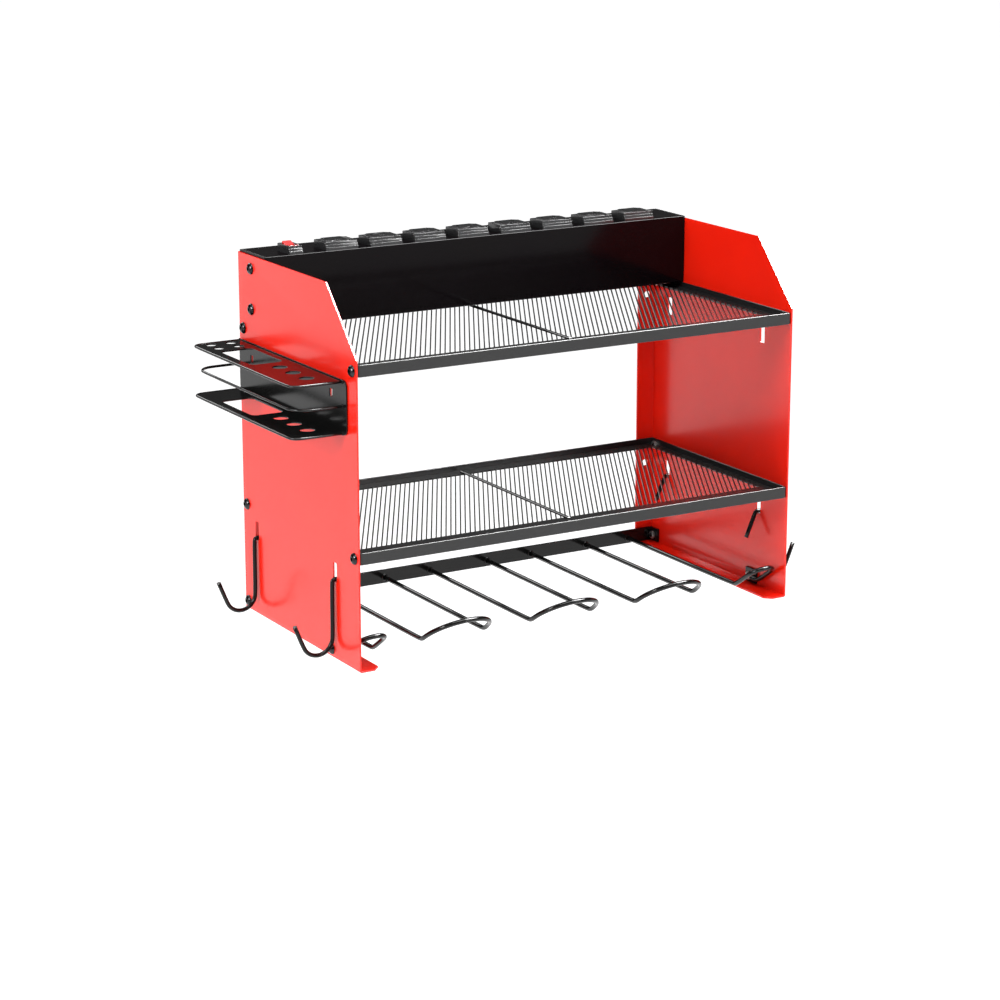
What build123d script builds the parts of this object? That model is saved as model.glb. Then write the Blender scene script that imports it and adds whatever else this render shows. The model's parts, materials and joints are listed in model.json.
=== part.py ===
from build123d import *
import os
from math import acos, ceil, cos, hypot, radians, sin, tan

# Wall mounted power tool organizer, in millimetres.
# X runs to the right, Y runs into the wall and Z runs up. The wall is the plane Y = 0.
# The origin is the middle of the four wall screw holes.

# Folded side panels
unit_width = 440.0
unit_depth = 222.5
unit_height = 326.0
sheet = 1.5
bend_radius = 2.0
corner_cut_depth = 53.0
corner_cut_height = 57.0
rear_flange = 20.0
bottom_flange = 20.5
flange_corner_cut = 6.0
overrun = 5.0

# Wall screw holes in the rear flanges
wall_hole_radius = 3.25
wall_hole_inset = 10.0
wall_hole_spacing = 166.0

# Hanging slots in the side panels: the lower ones rise from the bottom, the upper ones hang from the top
slot_width = 7.0
slot_height = 17.0
slot_corner_radius = 1.5
front_slot_setback = 43.5
rear_slot_setback = 28.0
lower_slot_rise = 69.5
upper_slot_drop = 96.5

# Running and seating gaps
assembly_gap = 0.2
seat_gap = 0.3
hole_clearance = 0.3
pin_clearance = 0.05

# Screws and nuts, kept plain: a domed head is a cone with a few flats, and the shank has flats too
screw_radius = 2.0
shank_sides = 8
head_radius = 5.2
head_top_radius = 2.8
head_height = 3.0
head_sides = 12
nut_across_flats = 7.0
nut_height = 2.6
screw_tail = 1.0

# Bent rods, kept light: the section has flats, and each bend is a few chords of its arc
rod_sides = 12
rod_chord_depth = 0.2

# Shelves: a bar ring on edge with a slotted mesh plate inside it
lip_height = 10.5
lip_thickness = 1.5
ring_corner_radius = 2.5
upper_shelf_drop = 71.5
lower_shelf_rise = 94.0
mesh_drop = 5.2
mesh_thickness = 1.2
mesh_front_border = 27.0
mesh_rear_border = 13.0
mesh_side_border = 8.0
strand_angle = 29.5
strand_pitch = 4.2
strand_width = 1.2
rib_width = 3.2
rib_height = 1.8
rib_chamfer = 0.5
shelf_screw_rise = 4.6
shelf_screw_front = 7.5
shelf_screw_rear = 9.0
nut_notch_gap = 1.5

# Power strip
strip_depth = 49.3
strip_rise = 2.0
strip_wall = 1.2
strip_bend_radius = 1.6
cap_thickness = 1.5
strip_screw_spread = 18.0

# Outlet blocks and the switch block on the strip: boxes whose fronts rise in steps
outlet_count = 8
outlet_pitch = 44.33
outlet_start = 78.4
outlet_width = 31.6
outlet_depth = 21.4
block_setback = 1.8
block_steps = 3
step_height = 2.3
step_setback = 1.3
body_inset = 0.9
body_depth = 18.0
rim_width = 25.0
rim_depth = 20.2
rim_wall = 0.8
rim_height = 0.8
rim_corner = 4.0
blade_slot_width = 1.8
live_slot_length = 6.6
neutral_slot_length = 8.2
blade_spread = 6.35
blade_offset = 4.4
earth_width = 4.8
earth_length = 4.4
earth_offset = 6.6
pocket_width = 4.6
pocket_length = 8.8
earth_pocket_length = 6.4
pocket_roof = 6.0

# Contacts and their carrier under the outlet blocks
busbar_thickness = 0.8
busbar_width = 3.6
clip_leaf = 0.5
clip_gap = 1.3
clip_height = 9.0
carrier_wall = 1.2
carrier_floor = 3.0

# Rocker switch
switch_place = 33.6
switch_width = 13.4
switch_body_inset = 0.7
rocker_width = 8.4
rocker_half_length = 7.8
rocker_crown = 4.8
rocker_dip = 3.3
rocker_heel = 4.0
rocker_sole = 4.4
rocker_pin_radius = 1.2
rocker_pin_length = 1.8
rocker_axis_rise = 3.2
rocker_tilt = 8.0
terminal_width = 4.0
terminal_thickness = 0.8
terminal_length = 7.0
terminal_spread = 6.0

# Cord gland in the right end
gland_bore_radius = 3.75
gland_neck_radius = 6.0
gland_flange_radius = 8.5
gland_flange = 2.5
gland_nose = 7.0
gland_nose_radius = 5.4
gland_inner_flange = 2.0
gland_sides = 12

# Drill holders and their rail
holder_count = 5
holder_rod = 4.5
holder_half_width = 31.0
holder_height = 7.5
holder_corner_setback = 35.5
holder_tilt = 35.0
holder_arch_length = 37.0
holder_corner_radius = 13.0
rail_height = 13.0
rail_thickness = 2.0
rail_tab = 14.0
rail_base_gap = 0.5
rail_screw_setback = 8.0
lug_front = 10.0
lug_rear = 7.0
lug_thickness = 2.0
lug_overlap = 4.5
lug_setback = 51.5
bottom_screw_height = 8.0

# Side hooks
hook_rod = 4.0
hook_inner_offset = 4.3
hook_shank_offset = 3.0
hook_leg_length = 26.0
hook_leg_angle = 23.0
hook_corner_radius = 3.0
hook_bend_height = 21.0
hook_bend_radius = 14.5
hook_tip_lean = 22.0
hook_tip_length = 21.5

# Side rack that hangs on the left panel
rack_wire = 2.5
rack_reach = 48.0
rack_middle_reach = 45.0
rack_front_setback = 22.5
rack_rear_setback = 5.0
rack_top_rise = 18.0
rack_middle_drop = 3.0
rack_bottom_drop = 26.0
rack_corner_radius = 9.0
rack_middle_corner_radius = 17.0
rack_plate = 1.2
rack_back_front_setback = 15.5
rack_back_rear_setback = 3.0
rack_back_margin = 1.5
rack_back_corner = 6.0
tab_width = 5.4
tab_drop = 4.4
tab_window_height = 8.0
driver_hole_radius = 6.5
driver_hole_count = 3
driver_hole_pitch = 25.0
driver_hole_front = 23.0
driver_hole_reach = 22.0
plier_window_width = 30.0
plier_window_corner = 5.0
plier_window_front = 92.0
plier_window_rear = 36.1
bit_hole_radius = 4.75
bit_hole_pitch_x = 19.0
bit_hole_pitch_y = 16.0
bit_hole_rear = 7.0

# Places that follow from the sizes above
half_width = unit_width / 2
bottom = -unit_height / 2
top = unit_height / 2
inner_half_width = half_width - sheet
front_slot_y = front_slot_setback - unit_depth
rear_slot_y = -rear_slot_setback
lower_slot_base = bottom + lower_slot_rise
upper_slot_base = top - upper_slot_drop

shelf_half_width = inner_half_width - assembly_gap
shelf_front_y = -unit_depth
shelf_rear_y = -sheet - assembly_gap
shelf_mid_y = (shelf_front_y + shelf_rear_y) / 2
shelf_depth = shelf_rear_y - shelf_front_y
shelf_bases = {"upper": top - upper_shelf_drop, "lower": bottom + lower_shelf_rise}
shelf_screw_ys = (shelf_front_y + shelf_screw_front, -shelf_screw_rear)

strip_top = top + strip_rise
strip_bottom = shelf_bases["upper"] + lip_height + assembly_gap
strip_height = strip_top - strip_bottom
strip_mid_z = (strip_top + strip_bottom) / 2
strip_rear_y = -sheet - assembly_gap
strip_front_y = strip_rear_y - strip_depth
strip_mid_y = (strip_front_y + strip_rear_y) / 2
cap_outer_x = inner_half_width - assembly_gap
channel_half_length = cap_outer_x - cap_thickness

base_depth = outlet_depth + (block_steps - 1) * step_setback
base_y = strip_front_y + block_setback + base_depth / 2
outlet_y = base_y + (base_depth - outlet_depth) / 2
outlet_xs = [outlet_start - half_width + outlet_pitch * index for index in range(outlet_count)]
outlet_bases = [(x, base_y) for x in outlet_xs]
outlet_faces = [(x, outlet_y) for x in outlet_xs]
block_bottom = strip_top - strip_wall - body_depth
block_top = strip_top + block_steps * step_height
switch_x = switch_place - half_width

rail_front_y = -sheet - assembly_gap - rail_thickness
rail_base = bottom + sheet + rail_base_gap
holder_z = bottom + holder_height
bottom_screw_z = bottom + bottom_screw_height
rail_screw_y = -rail_screw_setback
lug_y = lug_setback - unit_depth

hook_radius = hook_rod / 2
hook_bridge_z = lower_slot_base + hook_radius + seat_gap
screw_hole_radius = screw_radius + hole_clearance

shelf_screw_points = [(y, base + shelf_screw_rise) for base in shelf_bases.values() for y in shelf_screw_ys]
strip_screw_points = [(strip_mid_y, strip_mid_z + sign * strip_screw_spread) for sign in (-1, 1)]
lug_screw_point = (lug_y, bottom_screw_z)
rail_screw_point = (rail_screw_y, bottom_screw_z)

os.makedirs("parts", exist_ok=True)


def chord_points(axis_line):
    """Points along a rod's axis: the ends of its straight runs, and even steps round its arcs."""
    points = [axis_line @ 0]
    passed = 0
    for edge in axis_line.order_edges():
        steps = 1
        if edge.geom_type == GeomType.CIRCLE:
            step_turn = 2 * acos(1 - rod_chord_depth / edge.radius)
            steps = ceil(edge.length / edge.radius / step_turn)
        for step in range(1, steps + 1):
            points.append(axis_line @ ((passed + edge.length * step / steps) / axis_line.length))
        passed += edge.length
    return points


# Side panels: one sheet folded inwards at the wall and along the bottom
for side, panel_name in ((-1, "left_side_panel"), (1, "right_side_panel")):
    outer_x = side * half_width
    cut_plane = Plane.YZ.offset(outer_x + side * overrun)
    cut_length = -side * (sheet + 2 * overrun)
    with BuildPart() as panel:
        with BuildSketch(Plane.YZ.offset(outer_x)):
            with BuildLine():
                Polyline(
                    (0, bottom),
                    (-unit_depth, bottom),
                    (-unit_depth, top - corner_cut_height),
                    (corner_cut_depth - unit_depth, top),
                    (0, top),
                    close=True,
                )
            make_face()
        extrude(amount=-side * sheet)
        with BuildSketch(Plane.XY.offset(bottom)):
            with Locations((side * (half_width - rear_flange / 2), -sheet / 2)):
                Rectangle(rear_flange, sheet)
        extrude(amount=unit_height)
        with BuildSketch(Plane.XY.offset(bottom)):
            with BuildLine():
                Polyline(
                    (outer_x, 0),
                    (outer_x, -unit_depth),
                    (side * (half_width - bottom_flange + flange_corner_cut), -unit_depth),
                    (side * (half_width - bottom_flange), flange_corner_cut - unit_depth),
                    (side * (half_width - bottom_flange), 0),
                    close=True,
                )
            make_face()
        extrude(amount=sheet)
        fold_edges = [
            edge
            for edge in panel.edges()
            if abs(edge.center().X - outer_x) < assembly_gap
            and (abs(edge.center().Y) < assembly_gap or abs(edge.center().Z - bottom) < assembly_gap)
        ]
        fillet(fold_edges, radius=bend_radius)
        with BuildSketch(cut_plane):
            with Locations(*[
                (y, slot_base + slot_height / 2)
                for slot_base in (lower_slot_base, upper_slot_base)
                for y in (front_slot_y, rear_slot_y)
            ]):
                RectangleRounded(slot_width, slot_height, slot_corner_radius)
            with Locations(*shelf_screw_points, *strip_screw_points, lug_screw_point, rail_screw_point):
                Circle(screw_hole_radius)
            if side > 0:
                with Locations((strip_mid_y, strip_mid_z)):
                    Circle(gland_neck_radius + hole_clearance)
        extrude(amount=cut_length, mode=Mode.SUBTRACT)
        with BuildSketch(Plane.XZ):
            with Locations(
                (side * (half_width - wall_hole_inset), wall_hole_spacing / 2),
                (side * (half_width - wall_hole_inset), -wall_hole_spacing / 2),
            ):
                Circle(wall_hole_radius)
        extrude(amount=overrun, both=True, mode=Mode.SUBTRACT)
    panel.part.label = panel_name
    export_step(panel.part, "parts/" + panel_name + ".step")


# Shelves: the ring of bar, the mesh plate inside it and the rib along its middle
window_front_y = shelf_front_y + lip_thickness + mesh_front_border
window_rear_y = shelf_rear_y - lip_thickness - mesh_rear_border
window_depth = window_rear_y - window_front_y
window_mid_y = (window_front_y + window_rear_y) / 2
window_width = 2 * (shelf_half_width - lip_thickness - mesh_side_border)
gap_width = strand_pitch - strand_width
gap_pitch_x = strand_pitch / cos(radians(strand_angle))
gap_length = (window_depth + 2 * strand_pitch) / cos(radians(strand_angle)) + window_depth
gap_reach = window_width / 2 + window_depth / 2 * tan(radians(strand_angle))
gaps_each_side = int(gap_reach / gap_pitch_x)
plate_half_width = shelf_half_width - lip_thickness - assembly_gap
plate_depth = shelf_depth - 2 * (lip_thickness + assembly_gap)
notch_length = nut_across_flats + 2 * nut_notch_gap
notch_depth = nut_height + screw_tail + nut_notch_gap

with BuildSketch() as gap_field:
    with Locations(*[(gap_pitch_x * index, window_mid_y) for index in range(-gaps_each_side, gaps_each_side + 1)]):
        Rectangle(gap_width, gap_length, rotation=-strand_angle)
    with Locations((0, window_mid_y)):
        Rectangle(window_width, window_depth, mode=Mode.INTERSECT)
whole_gaps = [face for face in gap_field.sketch.faces() if face.area > gap_width * strand_pitch]

for shelf_name, shelf_base in shelf_bases.items():
    mesh_top = shelf_base + lip_height - mesh_drop
    with BuildPart() as ring:
        with BuildSketch(Plane.XY.offset(shelf_base)):
            with Locations((0, shelf_mid_y)):
                RectangleRounded(2 * shelf_half_width, shelf_depth, ring_corner_radius)
                RectangleRounded(
                    2 * (shelf_half_width - lip_thickness),
                    shelf_depth - 2 * lip_thickness,
                    ring_corner_radius - lip_thickness,
                    mode=Mode.SUBTRACT,
                )
        extrude(amount=lip_height)
        with BuildSketch(Plane.YZ):
            with Locations(*[(y, shelf_base + shelf_screw_rise) for y in shelf_screw_ys]):
                Circle(screw_hole_radius)
        extrude(amount=half_width + overrun, both=True, mode=Mode.SUBTRACT)
    ring.part.label = shelf_name + "_shelf_frame"
    export_step(ring.part, "parts/" + shelf_name + "_shelf_frame.step")

    with BuildPart() as mesh:
        with BuildSketch(Plane.XY.offset(mesh_top - mesh_thickness)):
            with Locations((0, shelf_mid_y)):
                RectangleRounded(2 * plate_half_width, plate_depth, ring_corner_radius - lip_thickness)
            with Locations(*[(side * plate_half_width, y) for side in (-1, 1) for y in shelf_screw_ys]):
                Rectangle(2 * notch_depth, notch_length, mode=Mode.SUBTRACT)
            add(whole_gaps, mode=Mode.SUBTRACT)
        extrude(amount=mesh_thickness)
    mesh.part.label = shelf_name + "_shelf_mesh"
    export_step(mesh.part, "parts/" + shelf_name + "_shelf_mesh.step")

    with BuildPart() as rib:
        with BuildSketch(Plane.XY.offset(mesh_top)):
            with Locations((0, window_mid_y)):
                Rectangle(rib_width, window_depth + mesh_rear_border)
        extrude(amount=rib_height)
        chamfer(rib.edges().group_by(Axis.Z)[-1], length=rib_chamfer)
    rib.part.label = shelf_name + "_shelf_rib"
    export_step(rib.part, "parts/" + shelf_name + "_shelf_rib.step")


# Power strip housing: a channel open to the wall, with windows for the blocks
switch_body_width = switch_width - 2 * switch_body_inset
outlet_body_width = outlet_width - 2 * body_inset
body_length = base_depth - 2 * body_inset

with BuildPart() as strip_housing:
    with BuildSketch(Plane.YZ.offset(-channel_half_length)) as channel:
        with Locations((strip_mid_y, strip_mid_z)):
            Rectangle(strip_depth, strip_height)
        fillet(channel.vertices().group_by(Axis.Y)[0], radius=strip_bend_radius)
        with Locations((strip_mid_y + strip_wall, strip_mid_z)):
            Rectangle(strip_depth, strip_height - 2 * strip_wall, mode=Mode.SUBTRACT)
    extrude(amount=2 * channel_half_length)
    with BuildSketch(Plane.XY.offset(strip_top - strip_wall - overrun)):
        with Locations(*outlet_bases):
            Rectangle(outlet_body_width + 2 * hole_clearance, body_length + 2 * hole_clearance)
        with Locations((switch_x, base_y)):
            Rectangle(switch_body_width + 2 * hole_clearance, body_length + 2 * hole_clearance)
    extrude(amount=strip_wall + 2 * overrun, mode=Mode.SUBTRACT)
strip_housing.part.label = "strip_housing"
export_step(strip_housing.part, "parts/strip_housing.step")

# Back cover: a plate between the legs of the channel
with BuildPart() as strip_back_cover:
    with BuildSketch(Plane.YZ.offset(-channel_half_length + assembly_gap)):
        with Locations((strip_rear_y - strip_wall / 2, strip_mid_z)):
            Rectangle(strip_wall, strip_height - 2 * strip_wall - 2 * assembly_gap)
    extrude(amount=2 * (channel_half_length - assembly_gap))
strip_back_cover.part.label = "strip_back_cover"
export_step(strip_back_cover.part, "parts/strip_back_cover.step")

# End caps: plates that close the channel and take the screws through the panels
for side, cap_name in ((-1, "strip_end_cap_left"), (1, "strip_end_cap_right")):
    with BuildPart() as end_cap:
        with BuildSketch(Plane.YZ.offset(side * cap_outer_x)) as cap_face:
            with Locations((strip_mid_y, strip_mid_z)):
                Rectangle(strip_depth, strip_height)
            fillet(cap_face.vertices().group_by(Axis.Y)[0], radius=strip_bend_radius)
            with Locations(*strip_screw_points):
                Circle(screw_hole_radius, mode=Mode.SUBTRACT)
            if side > 0:
                with Locations((strip_mid_y, strip_mid_z)):
                    Circle(gland_neck_radius + hole_clearance, mode=Mode.SUBTRACT)
        extrude(amount=-side * cap_thickness)
    end_cap.part.label = cap_name
    export_step(end_cap.part, "parts/" + cap_name + ".step")


# The side view of a block above the strip, with a step at the front for each layer
block_back = base_y + base_depth / 2
stepped_outline = [(block_back, strip_top)]
for index in range(block_steps):
    front_y = base_y - base_depth / 2 + index * step_setback
    stepped_outline.append((front_y, strip_top + index * step_height))
    stepped_outline.append((front_y, strip_top + (index + 1) * step_height))
stepped_outline.append((block_back, block_top))

# Outlet blocks: a stepped block with a raised rim, blade slots and pockets for the clips
pocket_top = block_top - pocket_roof
live_places = [(x + blade_spread, outlet_y + blade_offset) for x in outlet_xs]
neutral_places = [(x - blade_spread, outlet_y + blade_offset) for x in outlet_xs]
earth_places = [(x, outlet_y - earth_offset) for x in outlet_xs]

with BuildPart() as outlet_blocks:
    with BuildSketch(Plane.XY.offset(block_bottom)):
        with Locations(*outlet_bases):
            Rectangle(outlet_body_width, body_length)
    extrude(amount=strip_top - block_bottom)
    with BuildSketch(*[Plane.YZ.offset(x - outlet_width / 2) for x in outlet_xs]):
        with BuildLine():
            Polyline(*stepped_outline, close=True)
        make_face()
    extrude(amount=outlet_width)
    with BuildSketch(Plane.XY.offset(block_top)) as rims:
        with Locations(*outlet_faces):
            Rectangle(rim_width, rim_depth)
        chamfer(rims.vertices(), length=rim_corner)
        with Locations(*outlet_faces):
            rim_hole = Rectangle(rim_width - 2 * rim_wall, rim_depth - 2 * rim_wall, mode=Mode.PRIVATE)
            add(chamfer(rim_hole.vertices(), length=rim_corner - rim_wall / 2), mode=Mode.SUBTRACT)
    extrude(amount=rim_height)
    with BuildSketch(Plane.XY.offset(block_bottom)):
        with Locations(*live_places, *neutral_places):
            Rectangle(pocket_width, pocket_length)
        with Locations(*earth_places):
            Rectangle(pocket_width, earth_pocket_length)
    extrude(amount=pocket_top - block_bottom, mode=Mode.SUBTRACT)
    with BuildSketch(Plane.XY.offset(pocket_top)):
        with Locations(*live_places):
            Rectangle(blade_slot_width, live_slot_length)
        with Locations(*neutral_places):
            Rectangle(blade_slot_width, neutral_slot_length)
        with Locations(*earth_places):
            Rectangle(earth_width, earth_length)
    extrude(amount=pocket_roof + overrun, mode=Mode.SUBTRACT)
outlet_blocks.part.label = "outlet_blocks"
export_step(outlet_blocks.part, "parts/outlet_blocks.step")


# Carrier: a trough under the blocks whose walls reach up to the strip's top plate
carrier_top = block_bottom - busbar_thickness - assembly_gap
row_half_length = outlet_pitch * (outlet_count - 1) / 2 + outlet_width / 2
row_mid_x = (outlet_xs[0] + outlet_xs[-1]) / 2
carrier_inner_depth = body_length + 2 * hole_clearance

with BuildPart() as contact_carrier:
    with BuildSketch(Plane.YZ.offset(row_mid_x - row_half_length)):
        with Locations((base_y, carrier_top - carrier_floor)):
            Rectangle(
                carrier_inner_depth + 2 * carrier_wall,
                strip_top - strip_wall - carrier_top + carrier_floor,
                align=(Align.CENTER, Align.MIN),
            )
        with Locations((base_y, carrier_top)):
            Rectangle(
                carrier_inner_depth,
                strip_top - strip_wall - carrier_top,
                align=(Align.CENTER, Align.MIN),
                mode=Mode.SUBTRACT,
            )
    extrude(amount=2 * row_half_length)
contact_carrier.part.label = "contact_carrier"
export_step(contact_carrier.part, "parts/contact_carrier.step")

# Busbars: three strips along the carrier, each with a pair of spring leaves at every outlet
busbar_rows = (
    ("live_busbar", live_places, blade_offset + pocket_length / 4),
    ("neutral_busbar", neutral_places, blade_offset - pocket_length / 4),
    ("earth_busbar", earth_places, -earth_offset),
)
for bar_name, clip_places, bar_offset in busbar_rows:
    leaf_shift = (clip_gap + clip_leaf) / 2
    leaves = [(place[0] + sign * leaf_shift, outlet_y + bar_offset) for place in clip_places for sign in (-1, 1)]
    with BuildPart() as busbar:
        with BuildSketch(Plane.XY.offset(carrier_top)):
            with Locations((row_mid_x, outlet_y + bar_offset)):
                Rectangle(2 * row_half_length, busbar_width)
        extrude(amount=busbar_thickness)
        with BuildSketch(Plane.XY.offset(carrier_top)):
            with Locations(*leaves):
                Rectangle(clip_leaf, busbar_width)
        extrude(amount=busbar_thickness + clip_height)
    busbar.part.label = bar_name
    export_step(busbar.part, "parts/" + bar_name + ".step")


# Switch block: the same steps as an outlet block round an open well for the rocker.
# The well is midway between the top layer's front and the back of the body below the strip's top.
switch_front_y = block_back - outlet_depth
rocker_y = (switch_front_y + block_back - body_inset) / 2
rocker_axis_z = strip_top + rocker_axis_rise
rocker_sweep_radius = hypot(rocker_half_length, rocker_crown)
well_depth = 2 * (rocker_sweep_radius + seat_gap)
well_bottom = rocker_axis_z - hypot(rocker_heel, rocker_sole) - seat_gap
well_width = rocker_width + 2 * seat_gap

with BuildPart() as switch_block:
    with BuildSketch(Plane.XY.offset(block_bottom)):
        with Locations((switch_x, base_y)):
            Rectangle(switch_body_width, body_length)
    extrude(amount=strip_top - block_bottom)
    with BuildSketch(Plane.YZ.offset(switch_x - switch_width / 2)):
        with BuildLine():
            Polyline(*stepped_outline, close=True)
        make_face()
    extrude(amount=switch_width)
    with BuildSketch(Plane.XY.offset(well_bottom)):
        with Locations((switch_x, rocker_y)):
            Rectangle(well_width, well_depth)
    extrude(amount=block_top - well_bottom, mode=Mode.SUBTRACT)
    with BuildSketch(Plane.YZ.offset(switch_x)):
        with Locations((rocker_y, rocker_axis_z)):
            Circle(rocker_pin_radius + pin_clearance)
    extrude(amount=well_width / 2 + rocker_pin_length, both=True, mode=Mode.SUBTRACT)
switch_block.part.label = "switch_block"
export_step(switch_block.part, "parts/switch_block.step")

# Rocker: a dished key on two pins, stored with its front end pressed
rocker_plane = Plane(
    origin=(switch_x, rocker_y, rocker_axis_z),
    x_dir=(0, cos(radians(rocker_tilt)), sin(radians(rocker_tilt))),
    z_dir=(1, 0, 0),
)
with BuildPart() as rocker_switch:
    with BuildSketch(rocker_plane):
        with BuildLine():
            Polyline(
                (-rocker_half_length, rocker_crown),
                (0, rocker_dip),
                (rocker_half_length, rocker_crown),
                (rocker_half_length, 0),
                (rocker_heel, -rocker_sole),
                (-rocker_heel, -rocker_sole),
                (-rocker_half_length, 0),
                close=True,
            )
        make_face()
    extrude(amount=rocker_width / 2, both=True)
    with BuildSketch(rocker_plane):
        Circle(rocker_pin_radius)
    extrude(amount=rocker_width / 2 + rocker_pin_length, both=True)
rocker_switch.part.label = "rocker_switch"
export_step(rocker_switch.part, "parts/rocker_switch.step")

# Switch terminals: two blades under the switch block
with BuildPart() as switch_terminals:
    with BuildSketch(Plane.XY.offset(block_bottom - terminal_length)):
        with Locations(*[(switch_x, base_y + sign * terminal_spread) for sign in (-1, 1)]):
            Rectangle(terminal_width, terminal_thickness)
    extrude(amount=terminal_length)
switch_terminals.part.label = "switch_terminals"
export_step(switch_terminals.part, "parts/switch_terminals.step")

# Cord gland: a flanged bush through the right panel and the right end cap, with flats all round
cap_inner_x = cap_outer_x - cap_thickness
gland_start = cap_inner_x - gland_inner_flange
gland_end = half_width + gland_flange + gland_nose
gland_lengths = (
    (gland_start, cap_inner_x, gland_flange_radius),
    (cap_inner_x, half_width, gland_neck_radius),
    (half_width, half_width + gland_flange, gland_flange_radius),
    (half_width + gland_flange, gland_end, gland_nose_radius),
)
with BuildPart() as cord_gland:
    for start_x, end_x, outer_radius in gland_lengths:
        with BuildSketch(Plane.YZ.offset(start_x)):
            with Locations((strip_mid_y, strip_mid_z)):
                RegularPolygon(outer_radius, gland_sides)
        extrude(amount=end_x - start_x)
    with BuildSketch(Plane.YZ.offset(gland_start)):
        with Locations((strip_mid_y, strip_mid_z)):
            Circle(gland_bore_radius)
    extrude(amount=gland_end - gland_start, mode=Mode.SUBTRACT)
cord_gland.part.label = "cord_gland"
export_step(cord_gland.part, "parts/cord_gland.step")


# Drill rail: a flat bar along the wall with a tab folded forwards at each panel
rail_half_length = inner_half_width - assembly_gap
with BuildPart() as drill_rail:
    with BuildSketch(Plane.XY.offset(rail_base)):
        with Locations((0, rail_front_y + rail_thickness / 2)):
            Rectangle(2 * rail_half_length, rail_thickness)
        with Locations(*[(side * (rail_half_length - rail_thickness / 2), rail_front_y + rail_thickness)
                         for side in (-1, 1)]):
            Rectangle(rail_thickness, rail_tab, align=(Align.CENTER, Align.MAX))
    extrude(amount=rail_height)
    with BuildSketch(Plane.YZ):
        with Locations(rail_screw_point):
            Circle(screw_hole_radius)
    extrude(amount=half_width + overrun, both=True, mode=Mode.SUBTRACT)
drill_rail.part.label = "drill_rail"
export_step(drill_rail.part, "parts/drill_rail.step")

# Drill holders: bent rods, three wide ones and a narrow one beside each panel
end_leg = inner_half_width - assembly_gap - lug_thickness - holder_rod / 2
bay_width = unit_width / (holder_count - 1)
corner_y = holder_corner_setback - unit_depth
short_leg_y = lug_y - lug_front + lug_overlap
outer_leg = half_width - holder_half_width
holder_legs = [(-end_leg, short_leg_y, -outer_leg, rail_front_y)]
for index in range(1, holder_count - 1):
    middle_x = bay_width * index - half_width
    holder_legs.append((middle_x - holder_half_width, rail_front_y, middle_x + holder_half_width, rail_front_y))
holder_legs.append((outer_leg, rail_front_y, end_leg, short_leg_y))
rise_share = sin(radians(holder_tilt))
run_share = cos(radians(holder_tilt))
crown_y = corner_y - holder_arch_length * run_share
crown_z = holder_z + holder_arch_length * rise_share

for number, (left_x, left_end_y, right_x, right_end_y) in enumerate(holder_legs, start=1):
    straight = holder_arch_length - (right_x - left_x) / 2
    shoulder_y = corner_y - straight * run_share
    shoulder_z = holder_z + straight * rise_share
    with BuildLine() as holder_axis:
        FilletPolyline(
            (left_x, left_end_y, holder_z),
            (left_x, corner_y, holder_z),
            (left_x, shoulder_y, shoulder_z),
            radius=holder_corner_radius,
        )
        ThreePointArc(
            (left_x, shoulder_y, shoulder_z),
            ((left_x + right_x) / 2, crown_y, crown_z),
            (right_x, shoulder_y, shoulder_z),
        )
        FilletPolyline(
            (right_x, shoulder_y, shoulder_z),
            (right_x, corner_y, holder_z),
            (right_x, right_end_y, holder_z),
            radius=holder_corner_radius,
        )
    with BuildPart() as holder:
        with BuildLine() as holder_path:
            Polyline(*chord_points(holder_axis.wire()))
        with BuildSketch(Plane(origin=(left_x, left_end_y, holder_z), z_dir=(0, -1, 0))):
            RegularPolygon(holder_rod / 2, rod_sides)
        sweep(path=holder_path.wire(), transition=Transition.RIGHT)
    holder.part.label = "drill_holder_" + str(number)
    export_step(holder.part, "parts/drill_holder_" + str(number) + ".step")

# Lugs: plates between the end holders and the panels, for the front bottom screws
lug_x = inner_half_width - assembly_gap - lug_thickness / 2
with BuildPart() as holder_lugs:
    with BuildSketch(Plane.XY.offset(rail_base)):
        with Locations((-lug_x, lug_y - lug_front), (lug_x, lug_y - lug_front)):
            Rectangle(lug_thickness, lug_front + lug_rear, align=(Align.CENTER, Align.MIN))
    extrude(amount=rail_height)
    with BuildSketch(Plane.YZ):
        with Locations(lug_screw_point):
            Circle(screw_hole_radius)
    extrude(amount=half_width + overrun, both=True, mode=Mode.SUBTRACT)
holder_lugs.part.label = "holder_lugs"
export_step(holder_lugs.part, "parts/holder_lugs.step")


# Side hooks: bent rod through a slot, an inner leg, an outer shank and an open bend
hook_places = [
    (side, y, "hook_" + side_name + "_" + end_name)
    for side, side_name in ((-1, "left"), (1, "right"))
    for y, end_name in ((front_slot_y, "front"), (rear_slot_y, "rear"))
]
arc_turn = 180 - hook_tip_lean
arc_centre_out = hook_shank_offset + hook_bend_radius
arc_z = bottom + hook_bend_height
tip_out = arc_centre_out - hook_bend_radius * cos(radians(arc_turn))
tip_z = arc_z - hook_bend_radius * sin(radians(arc_turn))

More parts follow.
